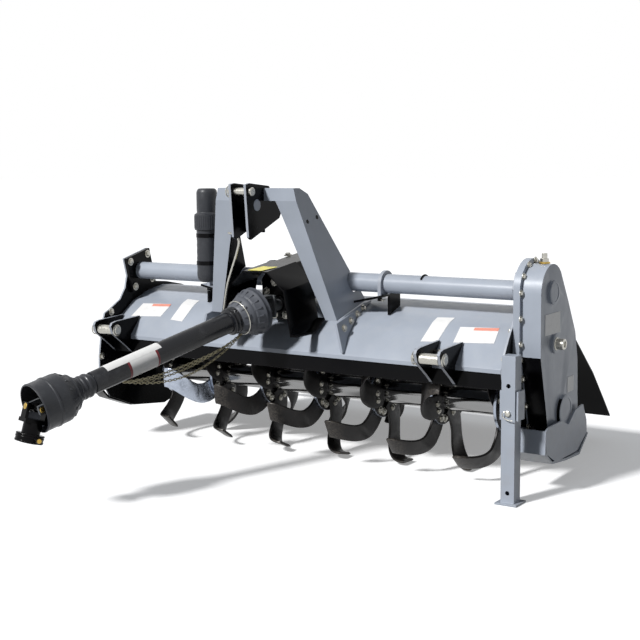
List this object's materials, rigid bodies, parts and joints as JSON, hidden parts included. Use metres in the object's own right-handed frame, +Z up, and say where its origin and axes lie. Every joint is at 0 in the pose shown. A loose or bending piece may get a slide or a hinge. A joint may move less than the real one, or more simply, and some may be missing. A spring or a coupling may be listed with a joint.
{
  "type": "tractor-mounted rotary tiller",
  "caption": "Tractor-mounted rotavator with a curved deck, a bladed rotor, a side gear case, an A-shaped mast, a tailgate, a parking stand and a guarded telescopic driveline.",
  "frame": {"origin": "on the ground, under the middle of the whole machine's outline", "axes": "+X towards the gear-case side, +Y to the rear, away from the tractor, +Z up"},
  "size_m": [1.7766, 1.9136, 0.978],
  "materials": {
    "black_paint": "gloss",
    "black_plastic": "satin",
    "grey_paint": "gloss",
    "tine_steel": "worn",
    "zinc": "satin"
  },
  "bodies": {
    "frame": {"deck": "grey_paint", "driveline_hook": "black_paint", "end_plate_left": "black_paint", "end_plate_right": "black_paint", "front_apron": "black_paint", "gear_case": "grey_paint", "gearbox": "black_paint", "hitch_plate_left": "black_paint", "hitch_plate_right": "black_paint", "input_guard": "black_paint", "input_yoke": "zinc", "lower_clevis_left": "black_paint", "lower_clevis_right": "black_paint", "lower_pin_left": "zinc", "lower_pin_right": "zinc", "main_tube_left": "grey_paint", "main_tube_right": "grey_paint", "manual_canister": "black_plastic", "mast_arm_left": "grey_paint", "mast_arm_right": "grey_paint", "mast_bracket_left": "black_paint", "mast_bracket_right": "black_paint", "mast_crossplate": "black_paint", "oil_plug": "zinc", "skid_guard_left": "grey_paint", "skid_right": "black_paint", "stand_sleeve": "grey_paint", "top_pin": "zinc", "tube_clamp_left": "black_paint", "tube_clamp_right": "black_paint", "tube_flange_right": "black_paint"},
    "rotor": {"rotor_tube": "tine_steel", "tine_gang_1": "tine_steel", "tine_gang_2": "tine_steel", "tine_gang_3": "tine_steel", "tine_gang_4": "tine_steel", "tine_gang_5": "tine_steel", "tine_gang_6": "tine_steel", "tine_gang_7": "tine_steel"},
    "tailgate": {"tailgate": "black_paint"},
    "stand": {"stand_leg": "grey_paint", "stand_pin": "zinc"},
    "rear_cross": {"rear_cross": "zinc"},
    "driveline_rear": {"rear_shaft": "zinc", "rear_guard": "black_plastic"},
    "driveline_front": {"front_shaft": "zinc", "front_guard": "black_plastic"},
    "coupler": {"front_yoke": "zinc"}
  },
  "joints": [
    {"name": "rotor_spin", "type": "hinge", "parent": "frame", "child": "rotor", "pos_m": [-0.099, 0.23883, 0.247], "axis": [1, 0, 0], "continuous": true},
    {"name": "tailgate_hinge", "type": "hinge", "parent": "frame", "child": "tailgate", "pos_m": [-0.099, 0.47782, 0.498], "axis": [1, 0, 0], "range_deg": [-5, 60]},
    {"name": "stand_slide", "type": "slide", "parent": "frame", "child": "stand", "axis": [0, 0, 1], "range_m": [0, 0.24]},
    {"name": "driveline_yaw", "type": "hinge", "parent": "frame", "child": "rear_cross", "pos_m": [-0.091, -0.06617, 0.556], "axis": [0, 0, 1], "range_deg": [-14, 46]},
    {"name": "driveline_pitch", "type": "hinge", "parent": "rear_cross", "child": "driveline_rear", "pos_m": [-0.091, -0.06617, 0.556], "axis": [-0.9608, 0.2773, 0], "range_deg": [-8, 28]},
    {"name": "driveline_slide", "type": "slide", "parent": "driveline_rear", "child": "driveline_front", "axis": [-0.2679, -0.928, -0.2588], "range_m": [0, 0.25]},
    {"name": "coupler_hinge", "type": "hinge", "parent": "driveline_front", "child": "coupler", "pos_m": [-0.32806, -0.88749, 0.32694], "axis": [-0.9608, 0.2773, 0], "range_deg": [0, 95]}
  ]
}
